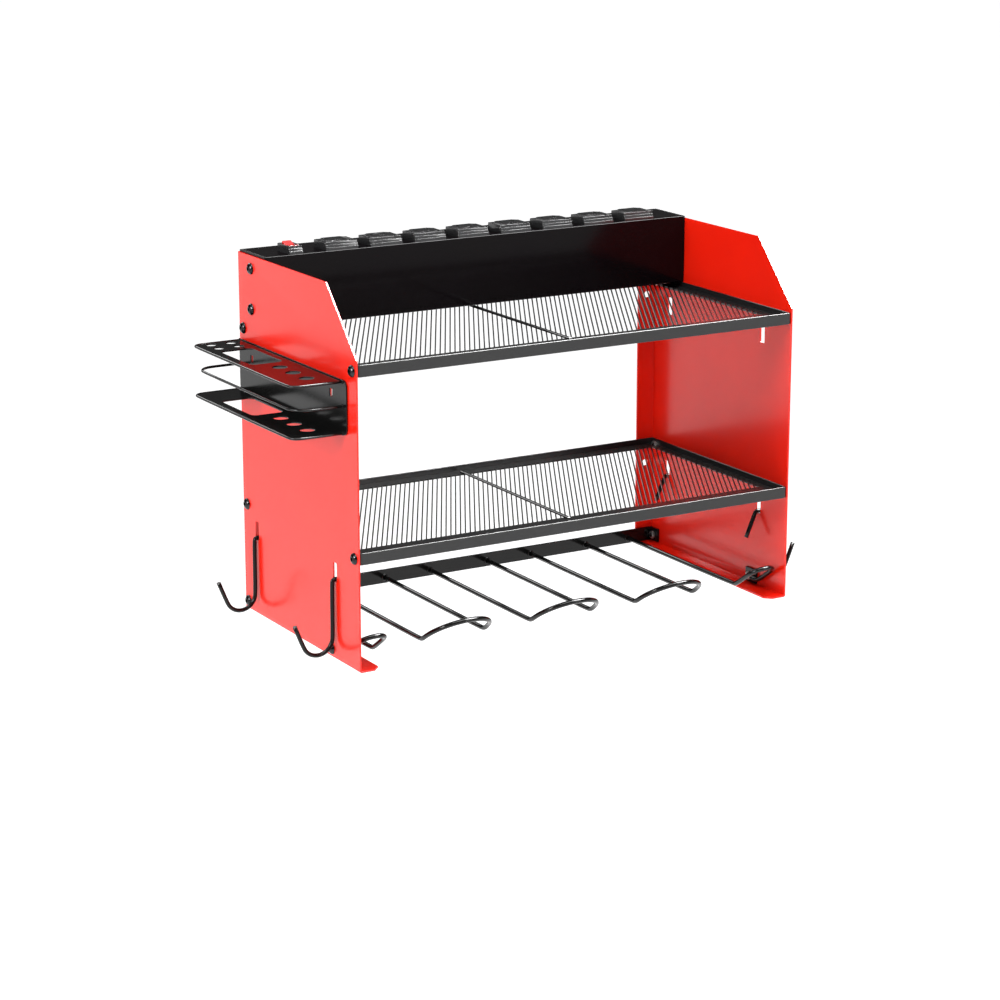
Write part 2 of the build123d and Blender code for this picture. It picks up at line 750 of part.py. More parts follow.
for side, hook_y, hook_name in hook_places:
    wall_x = side * half_width
    leg_x = side * (half_width - hook_inner_offset)
    leg_end = (
        leg_x - side * hook_leg_length * sin(radians(hook_leg_angle)),
        hook_y,
        hook_bridge_z - hook_leg_length * cos(radians(hook_leg_angle)),
    )
    shank_x = side * (half_width + hook_shank_offset)
    bend_middle = (
        wall_x + side * (arc_centre_out - hook_bend_radius * cos(radians(arc_turn / 2))),
        hook_y,
        arc_z - hook_bend_radius * sin(radians(arc_turn / 2)),
    )
    tip_start = (wall_x + side * tip_out, hook_y, tip_z)
    tip_end = (
        wall_x + side * (tip_out + hook_tip_length * sin(radians(hook_tip_lean))),
        hook_y,
        tip_z + hook_tip_length * cos(radians(hook_tip_lean)),
    )
    with BuildLine() as hook_axis:
        FilletPolyline(
            leg_end,
            (leg_x, hook_y, hook_bridge_z),
            (shank_x, hook_y, hook_bridge_z),
            (shank_x, hook_y, arc_z),
            radius=hook_corner_radius,
        )
        ThreePointArc((shank_x, hook_y, arc_z), bend_middle, tip_start)
        Line(tip_start, tip_end)
    with BuildPart() as hook:
        with BuildLine() as hook_path:
            Polyline(*chord_points(hook_axis.wire()))
        with BuildSketch(Plane(origin=leg_end, x_dir=(0, 1, 0), z_dir=hook_axis.wire() % 0)):
            RegularPolygon(hook_radius, rod_sides)
        sweep(path=hook_path.wire(), transition=Transition.RIGHT)
    hook.part.label = hook_name
    export_step(hook.part, "parts/" + hook_name + ".step")


# Side rack: back plate with two tabs lanced out of it, two holed plates and three wires
rack_back_x = -half_width - seat_gap
rack_face_x = rack_back_x - rack_plate
rack_front_y = rack_front_setback - unit_depth
rack_rear_y = -rack_rear_setback
wire_radius = rack_wire / 2
back_front_y = rack_back_front_setback - unit_depth
back_rear_y = -rack_back_rear_setback
rack_top_z = upper_slot_base + rack_top_rise
rack_middle_z = upper_slot_base - rack_middle_drop
rack_bottom_z = upper_slot_base - rack_bottom_drop
back_top_z = rack_top_z + rack_back_margin
back_bottom_z = rack_bottom_z - rack_back_margin
tab_base_z = upper_slot_base + seat_gap
tab_inner_x = -inner_half_width + seat_gap

with BuildPart() as rack_back_plate:
    with BuildSketch(Plane.YZ.offset(rack_face_x)):
        with Locations(((back_front_y + back_rear_y) / 2, (back_top_z + back_bottom_z) / 2)):
            RectangleRounded(back_rear_y - back_front_y, back_top_z - back_bottom_z, rack_back_corner)
        with Locations(*[(y, tab_base_z) for y in (front_slot_y, rear_slot_y)]):
            Rectangle(tab_width, tab_window_height, align=(Align.CENTER, Align.MIN), mode=Mode.SUBTRACT)
    extrude(amount=rack_plate)
    with BuildSketch(Plane.XY.offset(tab_base_z)):
        with Locations(*[(rack_face_x, y) for y in (front_slot_y, rear_slot_y)]):
            Rectangle(tab_inner_x + rack_plate - rack_face_x, tab_width, align=(Align.MIN, Align.CENTER))
    extrude(amount=rack_plate)
    with BuildSketch(Plane.XY.offset(tab_base_z + rack_plate)):
        with Locations(*[(tab_inner_x, y) for y in (front_slot_y, rear_slot_y)]):
            Rectangle(rack_plate, tab_width, align=(Align.MIN, Align.CENTER))
    extrude(amount=-tab_drop - rack_plate)
rack_back_plate.part.label = "rack_back_plate"
export_step(rack_back_plate.part, "parts/rack_back_plate.step")

shelf_outer_x = wire_radius + assembly_gap - half_width - rack_reach
shelf_plate_front_y = rack_front_y + wire_radius + assembly_gap
shelf_plate_rear_y = rack_rear_y - wire_radius - assembly_gap
shelf_plate_corner = rack_corner_radius - wire_radius
driver_holes = [
    (-half_width - driver_hole_reach, shelf_plate_front_y + driver_hole_front + driver_hole_pitch * index)
    for index in range(driver_hole_count)
]
rack_middle_x = (shelf_outer_x + rack_face_x) / 2
plier_window_start = shelf_plate_front_y + plier_window_front
plier_window_end = shelf_plate_rear_y - plier_window_rear
plier_window_length = plier_window_end - plier_window_start
plier_window_y = (plier_window_start + plier_window_end) / 2
bit_holes = [
    (rack_middle_x + sign * bit_hole_pitch_x / 2, shelf_plate_rear_y - bit_hole_rear - bit_hole_pitch_y * index)
    for index in range(2)
    for sign in (-1, 1)
]

for plate_name, plate_z, plate_holes in (
    ("rack_top_plate", rack_top_z, bit_holes),
    ("rack_bottom_plate", rack_bottom_z, []),
):
    with BuildPart() as rack_shelf:
        with BuildSketch(Plane.XY.offset(plate_z - rack_plate / 2)) as plate_outline:
            with BuildLine():
                Polyline(
                    (rack_face_x, shelf_plate_front_y),
                    (shelf_outer_x, shelf_plate_front_y),
                    (shelf_outer_x, shelf_plate_rear_y),
                    (rack_face_x, shelf_plate_rear_y),
                    close=True,
                )
            make_face()
            fillet(plate_outline.vertices().group_by(Axis.X)[0], radius=shelf_plate_corner)
            with Locations(*driver_holes):
                Circle(driver_hole_radius, mode=Mode.SUBTRACT)
            with Locations((rack_middle_x, plier_window_y)):
                RectangleRounded(plier_window_width, plier_window_length, plier_window_corner, mode=Mode.SUBTRACT)
            if plate_holes:
                with Locations(*plate_holes):
                    Circle(bit_hole_radius, mode=Mode.SUBTRACT)
        extrude(amount=rack_plate)
    rack_shelf.part.label = plate_name
    export_step(rack_shelf.part, "parts/" + plate_name + ".step")

rack_wires = (
    ("rack_wire_top", rack_top_z, rack_reach, rack_corner_radius),
    ("rack_wire_middle", rack_middle_z, rack_middle_reach, rack_middle_corner_radius),
    ("rack_wire_bottom", rack_bottom_z, rack_reach, rack_corner_radius),
)
for wire_name, wire_z, wire_reach, wire_corner in rack_wires:
    wire_x = -half_width - wire_reach
    with BuildLine() as wire_axis:
        FilletPolyline(
            (rack_face_x, rack_front_y, wire_z),
            (wire_x, rack_front_y, wire_z),
            (wire_x, rack_rear_y, wire_z),
            (rack_face_x, rack_rear_y, wire_z),
            radius=wire_corner,
        )
    with BuildPart() as rack_rod:
        with BuildLine() as wire_path:
            Polyline(*chord_points(wire_axis.wire()))
        with BuildSketch(Plane(origin=(rack_face_x, rack_front_y, wire_z), z_dir=(-1, 0, 0))):
            RegularPolygon(wire_radius, rod_sides)
        sweep(path=wire_path.wire(), transition=Transition.RIGHT)
    rack_rod.part.label = wire_name
    export_step(rack_rod.part, "parts/" + wire_name + ".step")


# Screws and nuts: heads outside the panels, nuts on the tails inside
screw_groups = (
    ("shelf", shelf_screw_points, lip_thickness),
    ("strip", strip_screw_points, cap_thickness),
    ("drill_rack", [lug_screw_point, rail_screw_point], rail_thickness),
)
for group_name, points, held_thickness in screw_groups:
    nut_x = inner_half_width - assembly_gap - held_thickness
    shank_length = half_width - nut_x + nut_height + screw_tail
    head_seats = [
        Plane((side * half_width, y, z), x_dir=(0, 1, 0), z_dir=(side, 0, 0))
        for side in (-1, 1)
        for y, z in points
    ]
    nut_seats = [
        Plane((side * nut_x, y, z), x_dir=(0, 1, 0), z_dir=(-side, 0, 0))
        for side in (-1, 1)
        for y, z in points
    ]
    with BuildPart() as plain_screw:
        with BuildSketch(Plane.XY):
            RegularPolygon(screw_radius, shank_sides)
        extrude(amount=-shank_length)
        with BuildSketch(Plane.XY):
            RegularPolygon(head_radius, head_sides)
        with BuildSketch(Plane.XY.offset(head_height)):
            RegularPolygon(head_top_radius, head_sides)
        loft(ruled=True)
    with BuildPart() as screws:
        with Locations(*head_seats):
            add(plain_screw.part)
    screws.part.label = group_name + "_screws"
    export_step(screws.part, "parts/" + group_name + "_screws.step")

    with BuildPart() as nuts:
        for seat in nut_seats:
            with BuildSketch(seat):
                RegularPolygon(nut_across_flats / 2, 6, major_radius=False)
                RegularPolygon(screw_radius + pin_clearance, shank_sides, mode=Mode.SUBTRACT)
            extrude(amount=nut_height)
    nuts.part.label = group_name + "_nuts"
    export_step(nuts.part, "parts/" + group_name + "_nuts.step")
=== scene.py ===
# %% [markdown]
# # A wall mounted power tool organizer
#
# The organizer is a rack of folded steel panels, bar and mesh shelves and bent rods.
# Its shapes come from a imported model. This lesson loads them, rounds their painted
# edges, adds the small worked details, and gives every surface its finish.

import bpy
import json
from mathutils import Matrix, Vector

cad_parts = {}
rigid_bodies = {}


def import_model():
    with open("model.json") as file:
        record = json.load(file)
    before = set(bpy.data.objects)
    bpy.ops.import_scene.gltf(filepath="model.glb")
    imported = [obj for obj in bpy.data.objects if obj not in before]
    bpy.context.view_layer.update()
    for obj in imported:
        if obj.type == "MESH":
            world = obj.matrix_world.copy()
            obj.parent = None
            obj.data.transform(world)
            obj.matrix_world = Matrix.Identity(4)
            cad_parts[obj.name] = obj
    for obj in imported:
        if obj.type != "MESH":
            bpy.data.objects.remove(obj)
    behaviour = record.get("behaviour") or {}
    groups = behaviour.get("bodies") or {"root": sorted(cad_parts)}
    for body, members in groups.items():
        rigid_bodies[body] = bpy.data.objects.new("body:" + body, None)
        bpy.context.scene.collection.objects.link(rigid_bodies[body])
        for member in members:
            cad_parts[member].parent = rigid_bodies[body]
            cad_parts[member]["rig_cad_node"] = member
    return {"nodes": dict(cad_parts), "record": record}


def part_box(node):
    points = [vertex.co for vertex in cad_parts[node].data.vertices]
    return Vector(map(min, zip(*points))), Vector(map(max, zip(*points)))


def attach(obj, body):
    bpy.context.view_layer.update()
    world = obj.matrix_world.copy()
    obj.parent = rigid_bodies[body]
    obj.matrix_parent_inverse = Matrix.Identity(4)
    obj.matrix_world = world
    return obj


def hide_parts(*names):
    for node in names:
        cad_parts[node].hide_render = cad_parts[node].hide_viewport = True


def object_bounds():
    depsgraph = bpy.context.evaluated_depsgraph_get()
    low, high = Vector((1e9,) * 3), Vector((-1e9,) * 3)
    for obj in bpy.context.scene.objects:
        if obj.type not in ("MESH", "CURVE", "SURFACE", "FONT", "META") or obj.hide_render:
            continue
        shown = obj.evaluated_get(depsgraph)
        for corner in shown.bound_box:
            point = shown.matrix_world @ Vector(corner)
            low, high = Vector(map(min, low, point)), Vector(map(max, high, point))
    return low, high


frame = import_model()
solid_box = [list(corner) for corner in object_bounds()]

import json
import math

import bpy
from mathutils import Vector

MM = 0.001
nodes = frame["nodes"]
bpy.ops.object.select_all(action="DESELECT")
print("size in mm:", [round((high - low) / MM, 1) for low, high in zip(*solid_box)])

# %% [markdown]
# ## The camera
#
# The picture is taken from the front left, a little above the rack, with a long lens.
# A long lens keeps the shelves nearly parallel. The place and the turn are given as
# numbers, because a camera helper would fit another picture shape.

# %% Place the camera
CAMERA_PLACE = (-1.293, -2.282, 0.608)
CAMERA_YAW = 30.43
CAMERA_PITCH = 14.96
CAMERA_LENS = 104.26
CAMERA_SENSOR = 36.0

camera_data = bpy.data.cameras.new("camera")
camera_data.lens = CAMERA_LENS
camera_data.sensor_width = CAMERA_SENSOR
camera = bpy.data.objects.new("camera", camera_data)
camera.location = CAMERA_PLACE
camera.rotation_euler = (math.radians(90 - CAMERA_PITCH), 0, math.radians(-CAMERA_YAW))
bpy.context.scene.collection.objects.link(camera)
bpy.context.scene.camera = camera
print("camera to rack in mm:", round(camera.location.length / MM))

# %% [markdown]
# ## Shader sums that read like sums
#
# A finish varies over the surface, and that takes many Math nodes. Placing each one by
# hand hides the idea, so one small class wraps a socket and lets it be added,
# multiplied and compared in plain Python. Every other node comes from one method.

# %% Wrap a socket


class Reading:
    """A number that varies over the surface."""

    def __init__(self, finish, socket):
        self.finish = finish
        self.socket = socket

    def reckon(self, operation, *terms):
        return self.finish.node("Math", {"operation": operation}, dict(enumerate(terms)))

    def __abs__(self):
        return self.reckon("ABSOLUTE", self)

    def __add__(self, other):
        return self.reckon("ADD", self, other)

    def __radd__(self, other):
        return self.reckon("ADD", other, self)

    def __sub__(self, other):
        return self.reckon("SUBTRACT", self, other)

    def __rsub__(self, other):
        return self.reckon("SUBTRACT", other, self)

    def __mul__(self, other):
        return self.reckon("MULTIPLY", self, other)

    def __rmul__(self, other):
        return self.reckon("MULTIPLY", other, self)

    def __gt__(self, other):
        return self.reckon("GREATER_THAN", self, other)

    def __lt__(self, other):
        return self.reckon("LESS_THAN", self, other)


print("readings can be added, subtracted, multiplied and compared")

# %% Draw up a finish
# The Mix node keeps its two colours and their blend at these numbered sockets.
MIX_LOW = 6
MIX_HIGH = 7
MIX_RESULT = 2


class Finish:
    """The nodes of a material, or of the room, with one method that adds a node."""

    def __init__(self, owner, shader="Principled BSDF", place="Object"):
        owner.use_nodes = True
        self.owner = owner
        self.tree = owner.node_tree
        self.shader = self.tree.nodes[shader]
        self.place = self.node("TexCoord", {}, {}, place)

    def node(self, kind, settings, sockets, output=0):
        added = self.tree.nodes.new("ShaderNode" + kind)
        for setting, value in settings.items():
            if setting == "stops":
                self.set_stops(added.color_ramp.elements, value)
            else:
                setattr(added, setting, value)
        for socket, value in sockets.items():
            self.feed(added.inputs[socket], value)
        return Reading(self, added.outputs[output])

    def set_stops(self, stops, wanted):
        for index, (position, colour) in enumerate(wanted):
            stop = stops[index] if index < len(stops) else stops.new(position)
            stop.position = position
            stop.color = (*colour, 1)

    def feed(self, socket, value):
        if isinstance(value, Reading):
            self.tree.links.new(value.socket, socket)
        elif isinstance(value, (tuple, list)) and socket.type == "RGBA":
            socket.default_value = (*value, 1)
        else:
            socket.default_value = value

    def surface(self, **sockets):
        for name, value in sockets.items():
            self.feed(self.shader.inputs[name.replace("_", " ")], value)

    def axis(self, letter):
        """How far each point lies along X, Y or Z."""
        return self.node("SeparateXYZ", {}, {"Vector": self.place}, letter)

    def noise(self, size_mm, detail):
        """Soft random patches of about this size."""
        sockets = {"Vector": self.place, "Scale": 1 / (size_mm * MM), "Detail": detail}
        return self.node("TexNoise", {}, sockets)

    def blend(self, mask, low, high):
        sockets = {"Factor": mask, MIX_LOW: low, MIX_HIGH: high}
        return self.node("Mix", {"data_type": "RGBA"}, sockets, MIX_RESULT)

    def ridge(self, height, depth_mm, strength):
        """A bump whose height is the reading times the depth."""
        sockets = {"Height": height, "Distance": depth_mm * MM, "Strength": strength}
        return self.node("Bump", {}, sockets, "Normal")


print("finish tools ready")

# %% [markdown]
# ## The floor and the light
#
# Gloss paint shows what stands round it, so the room matters as much as the lamps.
# A white floor gives the pale sheen on the red panels. The room is nearly black from
# just above the horizon, because that is what the level black tops mirror, and white
# overhead. Three cards light no matt surface: only shiny things see them, and they draw
# the thin white lines and the glints on the rods, the screws and the shelf edges. One
# big soft lamp would be simpler, but it leaves black gloss without any line. The floor
# is plain and pale, and lies well below the rack, which hangs on a wall in use.

# %% Lay the floor
FLOOR_DROP = 1.0
FLOOR_SIZE = 80.0
FLOOR_WHITE = (0.92, 0.92, 0.92)
FLOOR_ROUGHNESS = 0.9
FLOOR_GLOW = 0.55

floor_finish = Finish(bpy.data.materials.new("floor_white"))
floor_finish.surface(
    Base_Color=FLOOR_WHITE,
    Roughness=FLOOR_ROUGHNESS,
    Emission_Color=FLOOR_WHITE,
    Emission_Strength=FLOOR_GLOW,
)
floor_height = solid_box[0][2] - FLOOR_DROP
bpy.ops.mesh.primitive_plane_add(size=FLOOR_SIZE, location=(0, 0, floor_height))
floor = bpy.context.active_object
floor.name = "floor"
floor.data.materials.append(floor_finish.owner)
floor.select_set(False)
print("floor at mm:", round(floor.location.z / MM))

# %% Set the room
ROOM_STRENGTH = 1.0
ROOM_RAMP = (
    # sine of the height above the horizon, brightness
    (0.00, 1.00),
    (0.04, 0.04),
    (0.50, 0.10),
    (0.85, 1.00),
)

world = bpy.data.worlds.new("studio_room")
room = Finish(world, "Background", "Generated")
room_stops = [(height, (brightness,) * 3) for height, brightness in ROOM_RAMP]
room_ramp = room.node("ValToRGB", {"stops": room_stops}, {"Fac": room.axis("Z")})
room.surface(Color=room_ramp, Strength=ROOM_STRENGTH)
bpy.context.scene.world = world
bpy.context.scene.view_settings.view_transform = "Standard"
print("room stops:", len(ROOM_RAMP))

# %% Hang the lamps and the cards
LAMPS = (
    # name, place, size, power, lights matt surfaces too
    ("lamp_above", (-0.3, -0.9, 2.2), 1.8, 60.0, True),
    ("lamp_left", (-2.4, -0.2, 0.9), 1.4, 40.0, True),
    ("lamp_front", (1.0, -2.6, 1.0), 1.2, 30.0, True),
    ("card_front_edges", (1.08, -0.57, 1.83), 1.5, 400.0, False),
    ("card_rods", (-0.3, 1.85, 1.25), 1.0, 16.0, False),
    ("card_sparks", (-2.1, -0.7, 0.9), 0.45, 26.0, False),
)

for lamp_name, place, size, power, lights_matt in LAMPS:
    lamp_data = bpy.data.lights.new(lamp_name, "AREA")
    lamp_data.shape = "DISK"
    lamp_data.size = size
    lamp_data.energy = power
    lamp = bpy.data.objects.new(lamp_name, lamp_data)
    lamp.location = place
    lamp.rotation_euler = (-Vector(place)).to_track_quat("-Z", "Y").to_euler()
    lamp.visible_diffuse = lights_matt
    lamp.visible_camera = False
    bpy.context.scene.collection.objects.link(lamp)
print("lamps and cards:", len(LAMPS))

# %% [markdown]
# ## Gloss powder coat on the folded panels
#
# Powder coat is melted plastic, so it lies like the skin of an orange: a shallow ripple
# about two millimetres wide under a hard gloss. The colour drifts a little with the
# thickness of the coat. The ripple is far too shallow to be worth a mesh, so a bump
# gives it, and noise drifts the colour and the gloss.

# %% Mix the red coat
DRIFT_MM = 60
SPECK_MM = 4.0
PEEL_MM = 1.6
GRIT_MM = 0.35
GRIT_SHARE = 0.25
PEEL_STRENGTH = 0.35
SPECK_SWING = 0.06
DRIFT_SWING = 0.04
TOP_COAT_ROUGHNESS = 0.06


def powder_coat(name, thin, thick, roughness, ripple_mm, top_coat, gloss):
    """Painted sheet steel: thin and thick are the colour where the coat is so."""
    paint = Finish(bpy.data.materials.new(name))
    drift = paint.noise(DRIFT_MM, detail=3)
    peel = paint.noise(PEEL_MM, detail=2)
    grit = paint.noise(GRIT_MM, detail=1)
    specks = paint.noise(SPECK_MM, detail=4)
    smoothest = roughness - (SPECK_SWING + DRIFT_SWING) / 2
    paint.surface(
        Base_Color=paint.blend(drift, thin, thick),
        Roughness=smoothest + SPECK_SWING * specks + DRIFT_SWING * drift,
        Normal=paint.ridge(peel + GRIT_SHARE * grit, ripple_mm, PEEL_STRENGTH),
        Specular_IOR_Level=gloss,
        Coat_Weight=top_coat,
        Coat_Roughness=TOP_COAT_ROUGHNESS,
    )
    return paint.owner


panel_red = powder_coat(
    "panel_red", thin=(0.88, 0.014, 0.002), thick=(0.76, 0.009, 0.002),
    roughness=0.25, ripple_mm=0.03, top_coat=0.08, gloss=0.5,
)
print("made", panel_red.name)

# %% [markdown]
# ## Black coats
#
# The shelves are a plainer black than the strip above them, and the rods and the side
# rack have a hard gloss. The same recipe with other numbers serves all four, where a
# recipe for each would only repeat it.

# %% Mix the black coats
shelf_black = powder_coat(
    "shelf_black", thin=(0.012, 0.012, 0.012), thick=(0.008, 0.008, 0.009),
    roughness=0.30, ripple_mm=0.03, top_coat=0.1, gloss=0.5,
)
strip_black = powder_coat(
    "strip_black", thin=(0.003, 0.002, 0.002), thick=(0.002, 0.001, 0.002),
    roughness=0.14, ripple_mm=0.015, top_coat=0.0, gloss=0.12,
)
rod_black = powder_coat(
    "rod_black", thin=(0.005, 0.005, 0.005), thick=(0.003, 0.003, 0.003),
    roughness=0.14, ripple_mm=0.012, top_coat=0.1, gloss=0.25,
)
rack_black = powder_coat(
    "rack_black", thin=(0.005, 0.005, 0.005), thick=(0.003, 0.003, 0.003),
    roughness=0.18, ripple_mm=0.015, top_coat=0.0, gloss=0.3,
)
print("made", shelf_black.name, strip_black.name, rod_black.name, rack_black.name)

# %% [markdown]
# ## Hooks with sawn ends and painted tip highlights
#
# The coat is thin over the saw lines on the flat face at each hook's tip, so that face
# is duller, and its lighter colour is a painted highlight, the small glint at each tip.
# A second material on those faces would do it too, but a mask leaves each piece with one
# finish. The tips all lean outwards alike, so one slanted plane marks the last sliver of
# every tip, and a second mask keeps it off the rest of the rod.

# %% Mix the hooks' coat
TIP_LEAN = math.radians(22)
TIP_LEVEL_MM = -21.55
TIP_REACH_MM = 240.0
HOOK_DRIFT_MM = 25
HOOK_ROUGHNESS = 0.14
HOOK_RIPPLE_MM = 0.012
HOOK_TOP_COAT = 0.05
HOOK_GLOSS = 0.2
SAW_LINE_MM = 0.5
SAW_LINE_SHARE = 0.5
SAW_LINE_SWING = 0.05
SAWN_DULLNESS = 0.22


def hook_coat():
    hook = Finish(bpy.data.materials.new("hook_black"))
    outwards = abs(hook.axis("X"))
    along_tip = outwards * math.sin(TIP_LEAN) + hook.axis("Z") * math.cos(TIP_LEAN)
    past_cut = along_tip > TIP_LEVEL_MM * MM
    at_tip = outwards > TIP_REACH_MM * MM
    # This mask marks the dull sawn face and also places the painted highlight on it.
    sawn_and_highlit = past_cut * at_tip
    saw_lines = hook.noise(SAW_LINE_MM, detail=4)
    drift = hook.noise(HOOK_DRIFT_MM, detail=2)
    peel = hook.noise(PEEL_MM, detail=2)
    full_coat = hook.blend(drift, (0.005, 0.004, 0.004), (0.003, 0.003, 0.003))
    # The lighter colour of the sawn face is a painted highlight, the glint at each tip.
    thin_coat_highlight = hook.blend(saw_lines, (0.030, 0.028, 0.026), (0.014, 0.013, 0.012))
    relief = peel + SAW_LINE_SHARE * sawn_and_highlit * saw_lines
    hook.surface(
        Base_Color=hook.blend(sawn_and_highlit, full_coat, thin_coat_highlight),
        Roughness=HOOK_ROUGHNESS + SAWN_DULLNESS * sawn_and_highlit + SAW_LINE_SWING * saw_lines,
        Normal=hook.ridge(relief, HOOK_RIPPLE_MM, PEEL_STRENGTH),
        Specular_IOR_Level=HOOK_GLOSS,
        Coat_Weight=HOOK_TOP_COAT,
    )
    return hook.owner


hook_black = hook_coat()
print("made", hook_black.name)

# %% [markdown]
# ## Moulded plastic
#
# The outlet blocks come out of the mould with a soft gloss and a faint, fine grain. The
# rocker is polished, and its colour is deeper where it is thick. The contacts' carrier
# and the gland are matt. A grain this fine belongs in a bump, and slow noise stands for
# the way the melt flowed.

# %% Mix the plastics
FLOW_MM = 22
GRAIN_SWING = 0.08
GRAIN_STRENGTH = 0.5


def moulded(name, low, high, roughness, grain_mm, grain_depth_mm, top_coat):
    plastic = Finish(bpy.data.materials.new(name))
    flow = plastic.noise(FLOW_MM, detail=3)
    grain = plastic.noise(grain_mm, detail=3)
    plastic.surface(
        Base_Color=plastic.blend(flow, low, high),
        Roughness=roughness - GRAIN_SWING / 2 + GRAIN_SWING * grain,
        Normal=plastic.ridge(grain, grain_depth_mm, GRAIN_STRENGTH),
        Coat_Weight=top_coat,
    )
    return plastic.owner


outlet_grey = moulded(
    "outlet_grey", low=(0.016, 0.016, 0.017), high=(0.022, 0.022, 0.023),
    roughness=0.17, grain_mm=0.4, grain_depth_mm=0.002, top_coat=0.1,
)
rocker_red = moulded(
    "rocker_red", low=(0.70, 0.010, 0.008), high=(0.55, 0.006, 0.006),
    roughness=0.20, grain_mm=0.8, grain_depth_mm=0.004, top_coat=0.8,
)
carrier_black = moulded(
    "carrier_black", low=(0.030, 0.030, 0.030), high=(0.040, 0.040, 0.040),
    roughness=0.6, grain_mm=0.6, grain_depth_mm=0.03, top_coat=0.0,
)
gland_black = moulded(
    "gland_black", low=(0.016, 0.016, 0.016), high=(0.022, 0.022, 0.022),
    roughness=0.55, grain_mm=0.5, grain_depth_mm=0.03, top_coat=0.0,
)
print("made", outlet_grey.name, rocker_red.name, carrier_black.name, gland_black.name)

# %% [markdown]
# ## Bare metals
#
# The screws are blackened steel, the nuts are zinc plated, and the contacts are stamped
# brass. Zinc shows small leaf shaped patches, which a cell pattern gives, and handling
# leaves fine scratches on every metal. Noise in the roughness alone would do from far
# off, but close by the scratches need a bump too.

# %% Mix the metals
SCRATCH_MM = 0.3
SCRATCH_DEPTH_MM = 0.006
SCRATCH_STRENGTH = 0.4
SCRATCH_SWING = 0.10
PATCH_SWING = 0.05


def metal(name, low, high, roughness, patch_mm):
    bare = Finish(bpy.data.materials.new(name))
    cells = {"Vector": bare.place, "Scale": 1 / (patch_mm * MM)}
    patches = bare.node("TexVoronoi", {}, cells, "Distance")
    scratches = bare.noise(SCRATCH_MM, detail=4)
    bare.surface(
        Base_Color=bare.blend(patches, low, high),
        Metallic=1.0,
        Roughness=roughness + SCRATCH_SWING * scratches - PATCH_SWING * patches,
        Normal=bare.ridge(scratches, SCRATCH_DEPTH_MM, SCRATCH_STRENGTH),
    )
    return bare.owner


screw_black = metal(
    "screw_black", low=(0.050, 0.050, 0.052), high=(0.022, 0.022, 0.024),
    roughness=0.10, patch_mm=2.0,
)
nut_zinc = metal(
    "nut_zinc", low=(0.62, 0.62, 0.60), high=(0.50, 0.51, 0.51),
    roughness=0.32, patch_mm=1.2,
)
contact_brass = metal(
    "contact_brass", low=(0.80, 0.60, 0.25), high=(0.66, 0.46, 0.18),
    roughness=0.28, patch_mm=3.0,
)
print("made", screw_black.name, nut_zinc.name, contact_brass.name)

# %% [markdown]
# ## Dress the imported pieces
#
# A maker orders one finish for all the parts that go through the same bath or booth.
# The record names these as slots, so a piece takes its finish by its slot. Naming the
# finish piece by piece would repeat the record.

# %% Give each piece its finish
FINISHES = {
    "panel_paint": panel_red,
    "shelf_paint": shelf_black,
    "strip_paint": strip_black,
    "outlet_plastic": outlet_grey,
    "rocker_plastic": rocker_red,
    "carrier_plastic": carrier_black,
    "contact_brass": contact_brass,
    "gland_plastic": gland_black,
    "rod_paint": rod_black,
    "hook_paint": hook_black,
    "rack_paint": rack_black,
    "screw_black": screw_black,
    "nut_zinc": nut_zinc,
}
slot_of = {entry["node"]: entry["material_slot"] for entry in frame["record"]["subparts"]}
body_of = {
    name: body
    for body, names in frame["record"]["behaviour"]["bodies"].items()
    for name in names
}

for name, piece in nodes.items():
    piece.data.materials.clear()
    piece.data.materials.append(FINISHES[slot_of[name]])
print("dressed", len(nodes), "pieces")

# %% [markdown]
# ## Round the painted edges
#
# No real edge is sharp: the coat flows round each cut edge of the sheet, and that
# narrow curve catches the light as a pale line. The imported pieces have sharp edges.
# A Bevel node would only pretend, and the line would be lost in an export, so each
# piece is copied, its loose triangles are merged into clean faces, and a Bevel
# modifier rounds every edge that turns sharply.

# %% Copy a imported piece
MERGE_MM = 0.002
FLAT_DEGREES = 1.0


def copy_node(name, ending):
    """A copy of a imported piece, with its loose triangles merged into clean faces."""
    bpy.ops.object.select_all(action="DESELECT")
    nodes[name].select_set(True)
    bpy.context.view_layer.objects.active = nodes[name]
    bpy.ops.object.duplicate()
    copied = bpy.context.active_object
    copied.name = name + ending
    del copied["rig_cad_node"]
    bpy.ops.object.mode_set(mode="EDIT")
    bpy.ops.mesh.select_all(action="SELECT")
    bpy.ops.mesh.remove_doubles(threshold=MERGE_MM * MM)
    bpy.ops.mesh.dissolve_limited(angle_limit=math.radians(FLAT_DEGREES))
    bpy.ops.object.mode_set(mode="OBJECT")
    return copied


def stand_for(piece, name):
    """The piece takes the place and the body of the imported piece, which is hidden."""
    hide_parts(name)
    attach(piece, body_of[name])


print("bodies named:", len(set(body_of.values())), "slots named:", len(set(slot_of.values())))

# %% Round a copy of a piece
SHARP_DEGREES = 40.0


def soften_edges(piece, radius_mm, segments=2, sharp_degrees=SHARP_DEGREES, clamp=True):
    """Rounds the sharp edges of the piece, which is selected and active."""
    bpy.ops.object.shade_smooth_by_angle(angle=math.radians(SHARP_DEGREES))
    bevel = piece.modifiers.new("soft", "BEVEL")
    bevel.width = radius_mm * MM
    bevel.segments = segments
    bevel.limit_method = "ANGLE"
    bevel.angle_limit = math.radians(sharp_degrees)
    bevel.use_clamp_overlap = clamp
    bevel.harden_normals = True
    bpy.ops.object.modifier_apply(modifier="soft")


def round_edges(name, radius_mm, clamp):
    rounded = copy_node(name, "_rounded")
    soften_edges(rounded, radius_mm, clamp=clamp)
    stand_for(rounded, name)
    print(name, "faces:", len(rounded.data.polygons))


